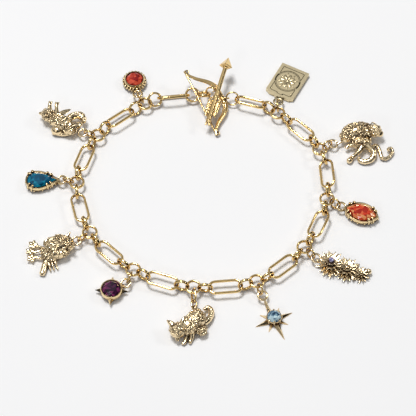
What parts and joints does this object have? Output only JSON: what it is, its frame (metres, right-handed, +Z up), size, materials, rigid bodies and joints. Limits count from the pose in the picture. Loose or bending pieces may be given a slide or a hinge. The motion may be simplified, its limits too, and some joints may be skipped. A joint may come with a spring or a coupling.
{
  "type": "charm bracelet",
  "caption": "Gold charm bracelet: a closed loop of long and round links with cast, stone-set and plaque charms on jump rings and a bow-and-arrow toggle clasp.",
  "frame": {"origin": "middle of the base of the box round the bracelet as it lies on a flat surface", "axes": "+Z up from the surface, +Y from the middle towards the toggle clasp, +X to the right seen from above"},
  "size_m": [0.0932, 0.085, 0.0073],
  "materials": {
    "polished_gold": "polished gold plate",
    "cast_gold": "antiqued gold plate on a casting",
    "red_stone": "faceted, deep red",
    "coral_stone": "faceted, orange-red",
    "teal_stone": "faceted, teal",
    "blue_stone": "faceted, denim blue",
    "purple_stone": "faceted, dark purple"
  },
  "bodies": {
    "root": {"arrow_ring": "polished_gold", "blue_stone": "blue_stone", "charm_flowers": "cast_gold", "charm_fox": "cast_gold", "charm_marquise": "cast_gold", "charm_monkey": "cast_gold", "charm_owl": "cast_gold", "charm_pear": "cast_gold", "charm_round_beaded": "cast_gold", "charm_round_points": "cast_gold", "charm_squirrel": "cast_gold", "charm_star": "cast_gold", "charm_tag": "cast_gold", "clasp_arrow": "polished_gold", "clasp_bow": "polished_gold", "clasp_ring": "polished_gold", "coral_stone": "coral_stone", "end_rings": "polished_gold", "fox_bail": "polished_gold", "fox_link": "polished_gold", "jump_ring_flowers": "polished_gold", "jump_ring_marquise": "polished_gold", "jump_ring_monkey": "polished_gold", "jump_ring_owl": "polished_gold", "jump_ring_pear": "polished_gold", "jump_ring_round_beaded": "polished_gold", "jump_ring_round_points": "polished_gold", "jump_ring_squirrel": "polished_gold", "jump_ring_star": "polished_gold", "jump_ring_tag": "polished_gold", "long_link_01": "polished_gold", "long_link_02": "polished_gold", "long_link_03": "polished_gold", "long_link_04": "polished_gold", "long_link_05": "polished_gold", "long_link_06": "polished_gold", "long_link_07": "polished_gold", "long_link_08": "polished_gold", "long_link_09": "polished_gold", "long_link_10": "polished_gold", "long_link_11": "polished_gold", "long_link_12": "polished_gold", "purple_stone": "purple_stone", "red_stone": "red_stone", "ring_trio_01": "polished_gold", "ring_trio_02": "polished_gold", "ring_trio_03": "polished_gold", "ring_trio_04": "polished_gold", "ring_trio_05": "polished_gold", "ring_trio_06": "polished_gold", "ring_trio_07": "polished_gold", "ring_trio_08": "polished_gold", "ring_trio_09": "polished_gold", "ring_trio_10": "polished_gold", "ring_trio_11": "polished_gold", "teal_stone": "teal_stone"}
  },
  "joints": []
}
